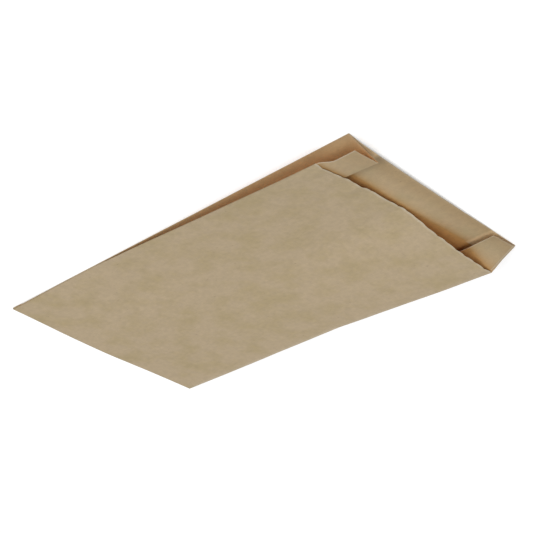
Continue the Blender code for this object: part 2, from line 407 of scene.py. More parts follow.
@dataclass(frozen=True)
class SideGusset:
    """A gusset along one long side, shut or sprung open, with its free flap past the front panel's cut."""

    depth: float
    stops: tuple[GussetStop, ...]
    mouth_fold: float
    mouth_crease: float
    flap_trim: float
    flap_trim_run: float = 9.0 * MM
    rise_power: float = 0.0
    old_fold_drop: float = 0.0
    tone: GussetTone = GussetTone()

    def section(
        self,
        paper: Paper,
        fineness: Fineness,
        y: float,
        past_cut: float,
        lip: float,
        base: float,
        sag: float,
    ) -> GussetSection:
        """The gusset's section at one place.

        Args:
            paper: the sheet.
            fineness: the mesh's steps.
            y: the place along the bag's folds.
            past_cut: the share of the way from the front panel's cut to the mouth.
            lip: how far the mouth lies past the cut on this side.
            base: how high the back panel's underside is there.
            sag: how high the front panel is along the middle of the bag there.

        Returns:
            The section, drawn for the near side.
        """
        places = [stop.y for stop in self.stops]
        shut_crease = base + paper.fold_reach + paper.pitch
        crease = max(np.interp(y, places, [stop.crease for stop in self.stops]), shut_crease)
        fold = max(np.interp(y, places, [stop.fold for stop in self.stops]), crease + paper.pitch)
        crease = mix(crease, self.mouth_crease, past_cut)
        fold = mix(fold, self.mouth_fold, past_cut)
        slope = self.rise_power * (fold + paper.fold_radius - sag) / HALF_WIDTH
        trim = self.flap_trim * float(smoothstep(past_cut * lip / self.flap_trim_run))
        return GussetSection(
            paper,
            fineness,
            depth=self.depth,
            base=base,
            crease_height=crease,
            fold_height=fold,
            trim=trim,
            front_slope=slope,
            old_fold_wear=self.tone.old_fold_wear,
            old_fold_drop=self.old_fold_drop * math.sin(math.pi * past_cut),
        )

    def pressed(self, paper: Paper, fineness: Fineness) -> GussetSection:
        """The gusset's section where all its layers are pressed together on the table."""
        crease, level = paper.fold_reach + paper.pitch, 0.0
        return GussetSection(paper, fineness, self.depth, level, crease, crease + paper.pitch, 0.0, level)


@dataclass(frozen=True)
class GluedLap:
    """Where one edge of the sheet lies glued over the other, along the hidden back."""

    centre: float = 8.0 * MM
    width: float = 11.0 * MM
    ramp: float = 4.0 * MM
    between: tuple[float, ...] = (0.25, 0.5, 0.75)

    def columns(self, near_x: float, far_x: float, paper: Paper, fineness: Fineness) -> list[tuple]:
        """X, then the shifts of the outer and the inner point, for columns across the back panel.

        Args:
            near_x: where the panel leaves the near back fold.
            far_x: where it meets the far back fold.
            paper: the sheet.
            fineness: the mesh's steps.

        Returns:
            Tuples of X, the two points' shifts in X, and their heights over the underside.
        """
        start, end = self.centre - self.width / 2, self.centre + self.width / 2
        single, double = paper.thickness, 2 * paper.thickness
        shares = supported_shares(HALF_WIDTH, fineness.panel, fineness.support)
        flat = (0.0, 0.0, 0.0, single)
        rows = [(mix(near_x, start - self.ramp, share), *flat) for share in shares]
        rows += [(start - self.ramp, *flat)]
        rows += [(start, 0.0, -single, single, double), (start, 0.0, single, 0.0, double)]
        rows += [(mix(start, end, share), 0.0, 0.0, 0.0, double) for share in self.between]
        rows += [(end, -single, 0.0, 0.0, double), (end, single, 0.0, 0.0, single)]
        rows += [(mix(end, far_x, share), *flat) for share in shares]
        return rows


@dataclass(frozen=True)
class BackPanel:
    """The panel that lies on the table, with the glued lap and the lip that stands out at the mouth."""

    lap: GluedLap = GluedLap()
    curl: float = 1.6 * MM
    curl_run: float = 55.0 * MM
    curl_peak: float = 0.3
    curl_ease: float = 6.0 * MM

    def curl_height(self, x: np.ndarray, y: np.ndarray) -> np.ndarray:
        """How far the panel has curled up off the table, near the mouth.

        Args:
            x: places across the bag.
            y: the same places along it.

        Returns:
            The height at each place, 0 at the two back folds.
        """
        across = np.clip((x + HALF_WIDTH) / BAG_WIDTH, 0.0, 1.0)
        along = smoothstep((y - HALF_LENGTH) / self.curl_run + 1)
        near_side = (across / self.curl_peak) ** self.curl_peak
        far_side = ((1 - across) / (1 - self.curl_peak)) ** (1 - self.curl_peak)
        off_folds = smoothstep(np.minimum(across, 1 - across) * BAG_WIDTH / self.curl_ease)
        return self.curl * along * off_folds * (near_side * far_side) ** 2

    def run(self, near_x: float, far_x: float, underside: HeightAt, paper: Paper, fineness: Fineness) -> Run:
        """Columns between the two back folds.

        Args:
            near_x: where the panel leaves the near back fold.
            far_x: where it meets the far back fold.
            underside: height of the panel's underside for an array of X.
            paper: the sheet.
            fineness: the mesh's steps.

        Returns:
            The columns, with the lap's two steps.
        """
        rows = np.array(self.lap.columns(near_x, far_x, paper, fineness))
        low = underside(rows[:, 0])
        outer = np.stack([rows[:, 0] + rows[:, 1], low + rows[:, 3]], axis=-1)
        inner = np.stack([rows[:, 0] + rows[:, 2], low + rows[:, 4]], axis=-1)
        return Run(np.stack([outer, inner], axis=1), np.zeros(len(rows)), np.zeros(len(rows)))


@dataclass(frozen=True)
class FrontPanel:
    """The upper panel, which sags along the middle and rises to the fold on each side."""

    cut: CutLine
    sag_at_bottom: float = 2.7 * MM
    sag_at_mouth: float = 2.2 * MM
    blend: float = 5.0 * MM
    near_rise_power: float = 1.5
    far_rise_power: float = 1.65
    ripple: float = 0.9 * MM
    ripple_size: float = 9.0 * MM
    ripple_run: float = 17.0 * MM
    ripple_stretch: float = 3.0
    ripple_side_power: int = 8

    def ripples(self, x: np.ndarray, to_cut: float) -> np.ndarray:
        """How far the panel stands up in small ripples close to its cut.

        Args:
            x: places across the bag.
            to_cut: how far they lie from the cut.

        Returns:
            The height at each place, 0 at the two folds.
        """
        places = np.stack([x, np.full_like(x, to_cut / self.ripple_stretch)], axis=-1)
        wave = np.maximum(even_noise(places, self.ripple_size, Layer.RIPPLE.value), 0.0)
        inside = 1 - np.clip(np.abs(x) / HALF_WIDTH, 0.0, 1.0) ** self.ripple_side_power
        return self.ripple * wave * inside * math.exp(-((to_cut / self.ripple_run) ** 2))

    def run(
        self, near_end: np.ndarray, far_end: np.ndarray, sag: float, paper: Paper, fineness: Fineness
    ) -> Run:
        """Columns from the panel's far fold to its near one.

        Args:
            near_end: the column where the near fold starts.
            far_end: the column where the far fold ends.
            sag: height of the panel along the middle of the bag.
            paper: the sheet.
            fineness: the mesh's steps.

        Returns:
            The columns, both ends left out.
        """
        near_x, near_z = near_end.mean(axis=0)
        far_x, far_z = far_end.mean(axis=0)

        def rise(x: np.ndarray) -> np.ndarray:
            """Height of the two sides, which meet in a kink along the middle."""
            near_share = np.clip(x / near_x, 0.0, 1.0)
            far_share = np.clip(x / far_x, 0.0, 1.0)
            near_side = mix(sag, near_z, near_share ** self.near_rise_power)
            far_side = mix(sag, far_z, 1 - (1 - far_share) ** self.far_rise_power)
            return np.where(x < 0, near_side, far_side)

        shares = supported_shares(far_x - near_x, fineness.front, fineness.support)
        x = mix(far_x, near_x, shares)
        blend = self.blend * np.clip(2 - np.abs(x) / (2 * self.blend), 0.0, 1.0)
        height = (rise(x - blend) + 2 * rise(x) + rise(x + blend)) / 4
        half = paper.thickness / 2
        skins = [np.stack([x, height + side], axis=-1) for side in (half, -half)]
        points = np.stack(skins, axis=1)
        return Run(points, np.zeros(len(x)), np.zeros(len(x)))


@dataclass(frozen=True)
class BottomClosure:
    """The tube's end, folded under in all its layers, and the front panel's longer tab glued to the back.

    One cut across the paper tube makes one bag's mouth and the next bag's bottom, so the tab has the
    shape of the front panel's piece that is missing at the mouth.
    """

    strip: float = 6.0 * MM
    release: float = 46.0 * MM
    tab_climb: float = 4.0 * MM

    def gap(self, paper: Paper) -> float:
        """From the bottom fold's axis to the layers on each side of it."""
        return paper.layer_gap / 2

    def axis_height(self, paper: Paper) -> float:
        """Height of the line that the tube's end turns under about."""
        return paper.stack + self.gap(paper)

    def base_height(self, y: Values, paper: Paper) -> Values:
        """Height of the back panel's underside: over the strip, then down to the table."""
        past_strip = (y + HALF_LENGTH - self.strip) / self.release
        return (self.axis_height(paper) + self.gap(paper)) * (1 - smoothstep(past_strip))


@dataclass(frozen=True)
class Buckle:
    """One long shallow ridge or dent in the paper."""

    x: float
    y: float
    heading: float
    length: float
    width: float
    height: float

    def lift(self, places: np.ndarray) -> np.ndarray:
        """How far it lifts the paper.

        Args:
            places: points, with X and Y first in the last axis.

        Returns:
            The height at each place, negative in a dent.
        """
        dx, dy = places[..., 0] - self.x, places[..., 1] - self.y
        along = dx * math.cos(self.heading) + dy * math.sin(self.heading)
        across = dy * math.cos(self.heading) - dx * math.sin(self.heading)
        return self.height * np.exp(-((along / self.length) ** 2) - (across / self.width) ** 2)


@dataclass(frozen=True)
class Relief:
    """The soft unevenness of used paper: broad swells, small dimples, a few buckles and a wavy mouth.

    A place moves up or down by the same amount in every layer above full_height, and by less below, so
    the layers never pass through each other.
    """

    swell: float = 0.28 * MM
    swell_size: float = 42.0 * MM
    dimple: float = 0.07 * MM
    dimple_size: float = 13.0 * MM
    full_height: float = 2.0 * MM
    mouth_wave: float = 0.70 * MM
    mouth_wave_size: float = 12.0 * MM
    mouth_wave_run: float = 16.0 * MM
    mouth_wave_squeeze: tuple[float, float, float] = (1.0, 0.35, 1.0)
    fold_wander: float = 0.12 * MM
    fold_wander_size: float = 38.0 * MM
    fold_wander_power: int = 4
    buckles: tuple[Buckle, ...] = (
        Buckle(6 * MM, -88 * MM, math.radians(14), 30 * MM, 3.6 * MM, 0.22 * MM),
        Buckle(14 * MM, -76 * MM, math.radians(16), 36 * MM, 4.2 * MM, 0.20 * MM),
        Buckle(30 * MM, -98 * MM, math.radians(12), 24 * MM, 3.4 * MM, 0.18 * MM),
        Buckle(-34 * MM, -70 * MM, math.radians(-52), 34 * MM, 6.0 * MM, -0.20 * MM),
        Buckle(-20 * MM, 26 * MM, math.radians(30), 40 * MM, 7.0 * MM, 0.14 * MM),
        Buckle(34 * MM, 44 * MM, math.radians(64), 42 * MM, 7.5 * MM, -0.16 * MM),
    )

    def lift(self, places: np.ndarray, cut: CutLine) -> np.ndarray:
        """How far the paper's upper layer is lifted.

        Args:
            places: points as X, Y and Z.
            cut: the front panel's cut, which the mouth's wave lies about.

        Returns:
            The height at each place.
        """
        total = self.swell * even_noise(places, self.swell_size, Layer.SWELL.value)
        total += self.dimple * even_noise(places, self.dimple_size, Layer.DIMPLE.value)
        for buckle in self.buckles:
            total += buckle.lift(places)
        to_cut = np.abs(cut.base(places[..., 0]) - places[..., 1]) / self.mouth_wave_run
        squeezed = places * np.array(self.mouth_wave_squeeze)
        wave = even_noise(squeezed, self.mouth_wave_size, Layer.MOUTH_WAVE.value)
        return total + self.mouth_wave * wave * np.exp(-to_cut ** 2)

    def applied(self, points: np.ndarray, cut: CutLine) -> np.ndarray:
        """The sheet with the unevenness added, and with side folds that wander a little.

        Args:
            points: the sheet's points as X, Y and Z.
            cut: the front panel's cut.

        Returns:
            The moved points.
        """
        moved = points.copy()
        share = smoothstep(points[..., 2] / self.full_height)
        moved[..., 2] += share * self.lift(points, cut)
        side = points[..., 0] / HALF_WIDTH
        along = np.stack([points[..., 1], np.sign(side) * HALF_WIDTH], axis=-1)
        wander = even_noise(along, self.fold_wander_size, Layer.FOLD_WANDER.value)
        moved[..., 0] += self.fold_wander * wander * side ** self.fold_wander_power
        return moved


@dataclass(frozen=True)
class Grain:
    """One noise in the paper: the size of its spots, its fineness, and the place's scale on each axis."""

    size: float
    detail: float
    roughness: float
    squeeze: tuple[float, float, float] = (1.0, 1.0, 1.0)


@dataclass(frozen=True)
class Spread:
    """A value's range from low to high, spread over another range and held there."""

    low: float
    high: float
    to_low: float = 0.0
    to_high: float = 1.0


@dataclass(frozen=True)
class KraftFinish:
    """Unbleached kraft paper: cloudy tone, fine fibres, dark specks, pale torn edges, and folds that are worn
    pale and painted with a pale sheen; painted bounce light, shade and glow are mixed into its tone.

    It reads these values from the mesh: inside, crease, torn, tucked, mouth_darkening, painted_glow and
    painted_shade.
    """

    smooth_side: tuple[float, float, float] = (0.408, 0.316, 0.199)
    rough_side: tuple[float, float, float] = (0.400, 0.294, 0.168)
    cloud_tone: tuple[float, float, float] = (0.372, 0.288, 0.160)
    speck_tone: tuple[float, float, float] = (0.16, 0.10, 0.052)
    # Below: painted bounce light in the recess, painted shade, painted bounce light deep in the bag, a darker
    # tone toward the mouth, a painted glow under the far flap, and a pale tone for worn edges and for folds
    # with a painted sheen.
    painted_recess_bounce_tone: tuple[float, float, float] = (0.472, 0.307, 0.150)
    shaded_tone: tuple[float, float, float] = (0.420, 0.237, 0.080)
    painted_cavity_bounce_tone: tuple[float, float, float] = (0.76, 0.385, 0.125)
    mouth_darkening_tone: tuple[float, float, float] = (0.338, 0.236, 0.120)
    painted_glow_tone: tuple[float, float, float] = (0.620, 0.455, 0.260)
    wear_and_sheen_tone: tuple[float, float, float] = (0.57, 0.52, 0.43)
    cloud: Grain = Grain(16.0 * MM, 3.0, 0.55)
    mottle: Grain = Grain(3.0 * MM, 4.0, 0.6)
    fibre: Grain = Grain(3.5 * MM, 3.0, 0.6, (7.0, 1.0, 7.0))
    weave: Grain = Grain(2.0 * MM, 3.0, 0.65, (1.0, 4.2, 1.0))
    clouded: Spread = Spread(0.42, 0.68)
    shaded: Spread = Spread(0.0, SHADED)
    painted_cavity_bounce: Spread = Spread(SHADED, 1.0)
    painted_shade: Spread = Spread(0.0, 1.0, 1.0, 0.65)
    mottle_light: Spread = Spread(0.30, 0.70, 0.93, 1.07)
    fibre_light: Spread = Spread(0.25, 0.75, 0.95, 1.05)
    weave_light: Spread = Spread(0.25, 0.75, 0.96, 1.04)
    fold_wear_and_sheen: Spread = Spread(0.35, 0.65, 0.16, 0.46)
    torn_wear: Spread = Spread(0.3, 0.7, 0.35, 0.75)
    roughness: Spread = Spread(0.3, 0.7, 0.56, 0.72)
    speck_size: float = 2.2 * MM
    speck_squeeze: tuple[float, float, float] = (1.0, 2.2 / 7.0, 1.0)
    speck_edge: Spread = Spread(0.05, 0.13, 1.0, 0.0)
    speck_choice: Spread = Spread(0.80, 0.95, 0.0, 0.55)
    specular: float = 0.5
    bump_depth: float = 0.035 * MM
    bump_weights: tuple[float, float, float] = (0.5, 0.3, 0.3)

    def material(self) -> bpy.types.Material:
        """The node material for the sheet's two skins and its cut edges.

        Returns:
            The material, with its colour, roughness and bump built from nodes.
        """
        material = bpy.data.materials.new("kraft_paper")
        material.use_nodes = True
        nodes = NodeBench(material.node_tree)
        place = nodes.add("ShaderNodeTexCoord").outputs["Object"]
        mottle, fibre, weave = (nodes.noise(place, grain) for grain in (self.mottle, self.fibre, self.weave))
        light = nodes.levels(mottle, self.mottle_light)
        # Painted shade darkens the grain where the mesh's painted_shade value is high.
        for value, spread in (
            (fibre, self.fibre_light),
            (weave, self.weave_light),
            (nodes.attribute("painted_shade"), self.painted_shade),
        ):
            light = nodes.times(light, nodes.levels(value, spread))
        toned = nodes.scale_colour(self.plain_tone(nodes, place), light)
        specked = nodes.mix_colour(self.specks(nodes, place), toned, self.speck_tone)
        # Folds and the front panel close to them are worn pale and painted with a sheen; cut edges are frayed
        # pale.
        worn = nodes.times(nodes.attribute("crease"), nodes.levels(mottle, self.fold_wear_and_sheen))
        folded = nodes.mix_colour(worn, specked, self.wear_and_sheen_tone)
        torn = nodes.times(nodes.attribute("torn"), nodes.levels(fibre, self.torn_wear))

        shader = nodes.shader
        nodes.link(nodes.mix_colour(torn, folded, self.wear_and_sheen_tone), shader.inputs["Base Color"])
        nodes.link(nodes.levels(mottle, self.roughness), shader.inputs["Roughness"])
        shader.inputs["Specular IOR Level"].default_value = self.specular
        heights = zip((mottle, fibre, weave), self.bump_weights)
        nodes.link(nodes.bump(heights, self.bump_depth), shader.inputs["Normal"])
        return material

    def plain_tone(self, nodes: "NodeBench", place: bpy.types.NodeSocket) -> bpy.types.NodeSocket:
        """The tone of each skin: cloudy in the open, with painted bounce light and shade where it is hidden,
        a darker tone toward the mouth, and a painted glow under the far flap.

        Args:
            nodes: the material's bench.
            place: the place on the bag.

        Returns:
            The colour, before its fine grain.
        """
        inside, tucked = nodes.attribute("inside"), nodes.attribute("tucked")
        side = nodes.mix_colour(inside, self.smooth_side, self.rough_side)
        clouded = nodes.levels(nodes.noise(place, self.cloud), self.clouded)
        colour = nodes.mix_colour(clouded, side, self.cloud_tone)
        # Painted bounce light and shade where a skin is tucked away, a darker tone toward the mouth, and a
        # painted glow under the far flap.
        hidden = nodes.mix_colour(inside, self.painted_recess_bounce_tone, self.shaded_tone)
        for share, tone in (
            (nodes.attribute("mouth_darkening"), self.mouth_darkening_tone),
            (nodes.levels(tucked, self.shaded), hidden),
            (nodes.levels(tucked, self.painted_cavity_bounce), self.painted_cavity_bounce_tone),
            (nodes.attribute("painted_glow"), self.painted_glow_tone),
        ):
            colour = nodes.mix_colour(share, colour, tone)
        return colour

    def specks(self, nodes: "NodeBench", place: bpy.types.NodeSocket) -> bpy.types.NodeSocket:
        """Sparse short dark fibres: the cores of a few of the cells that the paper is split into.

        Args:
            nodes: the material's bench.
            place: the place on the bag.

        Returns:
            How dark each place is, from 0 to 1.
        """
        cells = nodes.add("ShaderNodeTexVoronoi")
        nodes.link(nodes.scaled(place, self.speck_squeeze), cells.inputs["Vector"])
        cells.inputs["Scale"].default_value = 1 / self.speck_size
        core = nodes.levels(cells.outputs["Distance"], self.speck_edge)
        parts = nodes.add("ShaderNodeSeparateColor")
        nodes.link(cells.outputs["Color"], parts.inputs[0])
        return nodes.times(core, nodes.levels(parts.outputs[0], self.speck_choice))


class NodeBench:
    """A material's node tree, with short calls for the steps that a finish is built from.

    A source is a node's output, or a plain value or colour in its place.
    """

    def __init__(self, tree: bpy.types.NodeTree) -> None:
        """Start from the tree's own shader."""
        self.tree = tree
        self.shader = tree.nodes["Principled BSDF"]

    def add(self, kind: str, *sources: Source, **settings: str) -> bpy.types.Node:
        """Put a new node in the tree.

        Args:
            kind: the node's type.
            sources: what its first inputs are joined or set to, in order.
            settings: its own settings.

        Returns:
            The node.
        """
        node = self.tree.nodes.new(kind)
        for name, value in settings.items():
            setattr(node, name, value)
        for source, target in zip(sources, node.inputs):
            self.link(source, target)
        return node

    def link(self, source: Source, target: bpy.types.NodeSocket) -> None:
        """Join an output to an input, or set the input where the source is a plain value.

        Args:
            source: the output or the value.
            target: the input.
        """
        if isinstance(source, bpy.types.NodeSocket):
            self.tree.links.new(source, target)
        elif isinstance(source, tuple) and len(target.default_value) == 4:
            target.default_value = (*source, 1.0)
        else:
            target.default_value = source

    def attribute(self, name: str) -> bpy.types.NodeSocket:
        """A value stored on the mesh's points."""
        return self.add("ShaderNodeAttribute", attribute_name=name).outputs["Fac"]

    def scaled(self, place: Source, factors: tuple[float, float, float]) -> bpy.types.NodeSocket:
        """The place, scaled along each axis."""
        return self.add("ShaderNodeVectorMath", place, factors, operation="MULTIPLY").outputs[0]

    def noise(self, place: Source, grain: Grain) -> bpy.types.NodeSocket:
        """Smooth noise from 0 to 1.

        Args:
            place: the place on the bag.
            grain: the kind of noise.

        Returns:
            The noise's value.
        """
        node = self.add("ShaderNodeTexNoise", self.scaled(place, grain.squeeze))
        node.inputs["Scale"].default_value = 1 / grain.size
        node.inputs["Detail"].default_value = grain.detail
        node.inputs["Roughness"].default_value = grain.roughness
        return node.outputs["Fac"]

    def levels(self, value: Source, spread: Spread) -> bpy.types.NodeSocket:
        """The value, spread over another range and held there."""
        numbers = (spread.low, spread.high, spread.to_low, spread.to_high)
        return self.add("ShaderNodeMapRange", value, *numbers).outputs[0]

    def times(self, first: Source, second: Source) -> bpy.types.NodeSocket:
        """The product of two values."""
        return self.add("ShaderNodeMath", first, second, operation="MULTIPLY").outputs[0]

    def mix_colour(self, share: Source, first: Source, second: Source) -> bpy.types.NodeSocket:
        """A blend of two colours.

        Args:
            share: the share of the second colour.
            first: one colour.
            second: the other colour.

        Returns:
            The colour between them.
        """
        node = self.add("ShaderNodeMix", share, data_type="RGBA")
        self.link(first, node.inputs[6])
        self.link(second, node.inputs[7])
        return node.outputs[2]

    def scale_colour(self, colour: Source, factor: Source) -> bpy.types.NodeSocket:
        """A colour made lighter or darker.

        Args:
            colour: the colour.
            factor: what it is multiplied by.

        Returns:
            The new colour.
        """
        node = self.add("ShaderNodeVectorMath", colour, operation="SCALE")
        self.link(factor, node.inputs["Scale"])
        return node.outputs[0]

    def bump(self, heights: Iterable[tuple], depth: float) -> bpy.types.NodeSocket:
        """A bumped normal from several weighted heights.

        Args:
            heights: pairs of a height and its weight.
            depth: how deep the bumps are.

        Returns:
            The normal.
        """
        total = 0.0
        for height, weight in heights:
            total = self.add("ShaderNodeMath", total, self.times(height, weight), operation="ADD").outputs[0]
        node = self.add("ShaderNodeBump")
        node.inputs["Distance"].default_value = depth
        self.link(total, node.inputs["Height"])
        return node.outputs["Normal"]


@dataclass(frozen=True)
class Station:
    """One section of the loft in space: its points by column and skin.

    The tab has only the front panel's columns. Past the front panel's cut there are only the others, which
    last to the mouth.
    """

    points: np.ndarray
    holds_lasting: bool = True
    holds_front: bool = True


@dataclass(frozen=True)
class Shading:
    """Painted light and shade, and pale wear, in the sheet's tone: shares from 0 to 1, and lengths that each
    fades over.

    Inside the bag the painted bounce light and shade eases to edge_painted_shade at the front panel's cut,
    and fades out over the lip. The back panel gets a painted glow under the far flap and painted shade beside
    the near one. The lip and the flaps get darker toward the mouth. The recess is a gusset's outer side,
    below the front fold; it gets painted shade toward the mouth and at its heel by the near back fold. The
    front panel is worn pale with a painted sheen close to a fold. Cut edges are frayed pale over fray_width,
    the lip's by mouth_fray.
    """

    edge_painted_shade: float = 0.65
    lip_tone_run: float = 2.2 * MM
    inner_tone_run: float = 6.0 * MM
    flap_from: float = 50.5 * MM
    beside_dimmed: float = 0.55
    beside_from: float = 41.0 * MM
    beside_run: float = 7.0 * MM
    mouth_darkening_from: float = 6.0 * MM
    mouth_darkening_run: float = 12.0 * MM
    recess_dimmed: float = 0.45
    recess_run: float = 35.0 * MM
    heel_dimmed: float = 0.5
    heel_run: float = 2.2 * MM
    fold_wear_and_sheen_run: float = 1.4 * MM
    fray_width: float = 0.9 * MM
    mouth_fray: float = 0.35


@dataclass
class PaperBag:
    """The whole bag: one sheet lofted through its stations, and finished as kraft paper.

    bite_run is the last share of the body, over which the cut's bites come in, and mouth_bite_power sets how
    late on the lip the mouth's do. crease, tucked and lasting tell of a section's columns, and are filled in
    by section: the first two as in a Run, and the last as the number of columns that last to the mouth.
    """

    paper: Paper = Paper()
    fineness: Fineness = Fineness()
    front: FrontPanel = FrontPanel(CutLine(NEAR_LIP, FAR_LIP, 0.9 * MM, 0.55 * MM, 8.0 * MM, Layer.FRONT_CUT))
    back: BackPanel = BackPanel()
    bottom: BottomClosure = BottomClosure()
    near: SideGusset = SideGusset(
        depth=24.2 * MM,
        stops=(
            GussetStop(-66.0 * MM, 0.0, 0.0),
            GussetStop(HALF_LENGTH - NEAR_LIP, 8.40 * MM, 4.95 * MM),
        ),
        mouth_fold=9.0 * MM,
        mouth_crease=6.6 * MM,
        flap_trim=4.6 * MM,
        rise_power=1.5,
    )
    far: SideGusset = SideGusset(
        depth=22.4 * MM,
        stops=(
            GussetStop(-HALF_LENGTH, 1.45 * MM, 1.10 * MM),
            GussetStop(0.0, 3.95 * MM, 1.45 * MM),
            GussetStop(HALF_LENGTH - FAR_LIP, 11.80 * MM, 4.0 * MM),
        ),
        mouth_fold=1.2 * MM,
        mouth_crease=3.4 * MM,
        flap_trim=0.8 * MM,
        old_fold_drop=0.5 * MM,
        tone=GussetTone(
            fade_run=2.4 * MM,
            mouth_darkening=0.9,
            painted_shade=0.22,
            cut_dimmed=0.15,
            cut_dimmed_run=4.5 * MM,
            fold_wear_and_sheen=1.0,
            fold_dimmed=0.0,
            old_fold_wear=0.9,
        ),
    )
    mouth: CutLine = CutLine(0.0, 0.0, 0.0, 0.14 * MM, 6.0 * MM, Layer.MOUTH_CUT)
    bite_run: float = 0.03
    mouth_bite_power: int = 8
    relief: Relief = Relief()
    shading: Shading = Shading()
    finish: KraftFinish = KraftFinish()
    sharp_angle: float = math.radians(50)
    body: str = "root"
    node: str = "paper_bag"
    crease: np.ndarray = field(default_factory=lambda: np.zeros(0))
    tucked: np.ndarray = field(default_factory=lambda: np.zeros(0))
    lasting: int = 0

    def section(
        self, near: GussetSection, far: GussetSection, underside: HeightAt, sag: float
    ) -> np.ndarray:
        """The points of all columns round the tube.

        Args:
            near: the near gusset's section.
            far: the far gusset's section.
            underside: height of the back panel's underside for an array of X.
            sag: height of the front panel along the middle of the bag.

        Returns:
            Points by column and skin, as X and Z. The columns that last to the mouth come first.
        """
        near_tucked, far_tucked = near.tucked(), far.tucked().mirrored()
        near_front, far_front = near.front_arc(), far.front_arc().mirrored()
        ends = near_tucked.points[-1, 0, 0], far_tucked.points[0, 0, 0]
        panel = self.back.run(*ends, underside, self.paper, self.fineness)
        lasting = Run.chain(near_tucked, panel, far_tucked)
        front_ends = near_front.points[0], far_front.points[-1]
        upper = self.front.run(*front_ends, sag, self.paper, self.fineness)
        whole = Run.chain(lasting, far_front.part(1, None), upper, near_front.part(None, -1))
        self.lasting = len(lasting.crease)
        self.crease, self.tucked = whole.crease, whole.tucked
        return whole.points

    def body_station(self, start: float, share: float, past_cut: float) -> np.ndarray:
        """The points of a section between the bottom fold and the mouth.

        Args:
            start: where the bag's body leaves the bottom fold.
            share: the share of the way from there to the front panel's cut.
            past_cut: the share of the way from the cut to the mouth.

        Returns:
            Points by column and skin, as X, Y and Z.
        """
        cut, bottom, paper = self.front.cut, self.bottom, self.paper
        sag = mix(self.front.sag_at_bottom, self.front.sag_at_mouth, share)
        sides = (self.near, -HALF_WIDTH, cut.inset_near), (self.far, HALF_WIDTH, cut.inset_far)
        sections = []
        for gusset, fold_x, lip in sides:
            y = float(mix(start, cut.base(fold_x), share))
            base = float(bottom.base_height(y, paper))
            sections.append(gusset.section(paper, self.fineness, y, past_cut, lip, base, sag))
        toothed = float(smoothstep(1 - (1 - share) / self.bite_run)) * (1 - past_cut)
        at_mouth = past_cut ** self.mouth_bite_power

        def y_at(x: np.ndarray) -> np.ndarray:
            """How far along the bag the section lies, with its share of the two cuts' bites."""
            along = mix(mix(start, cut.base(x), share), HALF_LENGTH, past_cut)
            return along + (toothed * cut.bites(x) + at_mouth * (self.mouth.bites(x) - self.mouth.bite))

        def underside(x: np.ndarray) -> np.ndarray:
            """Height of the back panel's underside."""
            return bottom.base_height(y_at(x), paper) + self.back.curl_height(x, y_at(x))

        flat = self.section(*sections, underside, sag)
        upper = flat[self.lasting:]
        to_cut = (1 - share) * (cut.base(0.0) - start)
        upper[..., 1] += self.front.ripples(upper.mean(axis=1)[:, 0], to_cut)[:, None]
        return np.stack([flat[..., 0], y_at(flat[..., 0]), flat[..., 1]], axis=-1)

    def shut_section(self) -> np.ndarray:
        """The section where all layers lie pressed together, at the table's height.

        Returns:
            Points by column and skin, as X and Z.
        """
        paper = self.paper
        gussets = [side.pressed(paper, self.fineness) for side in (self.near, self.far)]
        return self.section(*gussets, np.zeros_like, paper.stack - paper.thickness / 2)

    def bottom_stations(self) -> tuple[list[Station], float]:
        """The stations of the glued tab, the strip and the bottom fold.

        The whole section turns over about an axis across the bag. A layer's distance from the axis goes
        from its place in the shut stack of the strip to its place in the first section of the bag.

        Returns:
            The stations from the tab's edge on, and where the body leaves the fold.
        """
        bottom, fineness = self.bottom, self.fineness
        axis_z, gap = bottom.axis_height(self.paper), bottom.gap(self.paper)
        top = self.body_station(-HALF_LENGTH, 0.0, 0.0)
        shut = self.shut_section()
        turned = []
        for turn in np.linspace(math.pi, 0.0, fineness.bottom_fold, endpoint=False):
            under = (1 - math.cos(turn)) / 2
            radius = mix(top[..., 2] - axis_z, shut[..., 1] + gap, under)
            x = mix(top[..., 0], shut[..., 0], under)
            z = axis_z + radius * math.cos(turn)
            turned.append(np.stack([x, -radius * math.sin(turn), z], axis=-1))
        start = max(-points[..., 1].min() for points in turned) - HALF_LENGTH
        for points in turned:
            points[..., 1] += start
        strip = []
        for share in np.linspace(0.0, 1.0, fineness.strip, endpoint=False):
            points = turned[0].copy()
            points[..., 1] = mix(bottom.strip - HALF_LENGTH, start, share)
            strip.append(Station(points))
        stations = [Station(points) for points in turned]
        return self.tab_stations(strip[0].points) + strip + stations, start

    def tab_stations(self, strip_end: np.ndarray) -> list[Station]:
        """The front panel's tab past the strip, from its edge back to the strip.

        Args:
            strip_end: points of the strip's end.

        Returns:
            The stations, which hold the front panel's columns between its folds.
        """
        bottom, paper, cut = self.bottom, self.paper, self.front.cut
        stations = []
        for share in np.linspace(1.0, 0.0, self.fineness.tab, endpoint=False):
            points = strip_end.copy()
            x = points[..., 0]
            edge = HALF_LENGTH - cut.base(x) + cut.bites(-x) * share
            run = share * edge
            points[..., 1] = bottom.strip - HALF_LENGTH + run
            under_back = bottom.base_height(points[..., 1], paper) - paper.pitch
            climb = smoothstep(run / bottom.tab_climb)
            points[..., 2] += climb * under_back
            stations.append(Station(points, holds_lasting=False))
        return stations

    def stations(self) -> list[Station]:
        """Every station of the sheet.

        Returns:
            The stations, from the tab's edge to the mouth.
        """
        stations, start = self.bottom_stations()
        cut, fineness = self.front.cut, self.fineness
        body = supported_shares(cut.base(0.0) - start, fineness.body, fineness.support)
        for share in (0.0, *body, 1.0):
            stations.append(Station(self.body_station(start, share, 0.0)))
        for past_cut in (*supported_shares(cut.inset_far, fineness.lip, fineness.support), 1.0):
            stations.append(Station(self.body_station(start, 1.0, past_cut), holds_front=False))
        return stations

